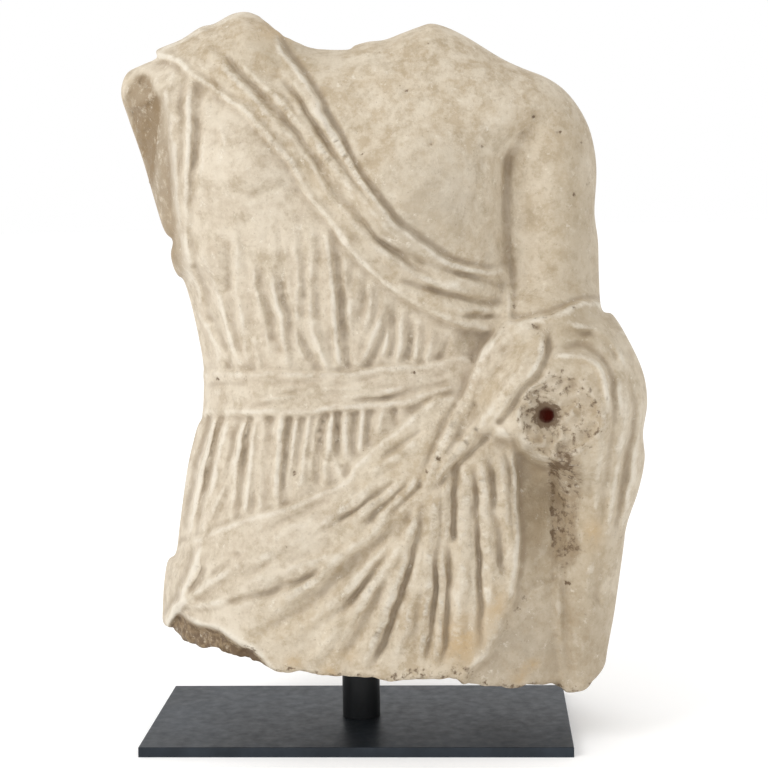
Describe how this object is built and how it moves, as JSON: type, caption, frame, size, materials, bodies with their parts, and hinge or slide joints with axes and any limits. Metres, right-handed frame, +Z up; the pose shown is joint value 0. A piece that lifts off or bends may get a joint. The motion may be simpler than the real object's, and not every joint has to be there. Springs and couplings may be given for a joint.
{
  "type": "broken marble torso of a draped goddess on a steel stand",
  "caption": "Life-size broken marble torso of a draped female figure, headless and without forearms, held upright by a round steel post on a flat rectangular base plate.",
  "frame": {"origin": "the middle of the base plate's underside, on the post's axis", "axes": "+Z up, -Y the way the figure faces, +X towards the figure's own left arm, which is the viewer's right"},
  "size_m": [0.5038, 0.2604, 0.696],
  "materials": {
    "marble": "weathered cream marble, matt",
    "post_steel": "black satin steel",
    "plate_steel": "black satin steel"
  },
  "bodies": {
    "root": {"marble_torso": "marble", "support_post": "post_steel", "base_plate": "plate_steel"}
  },
  "joints": []
}
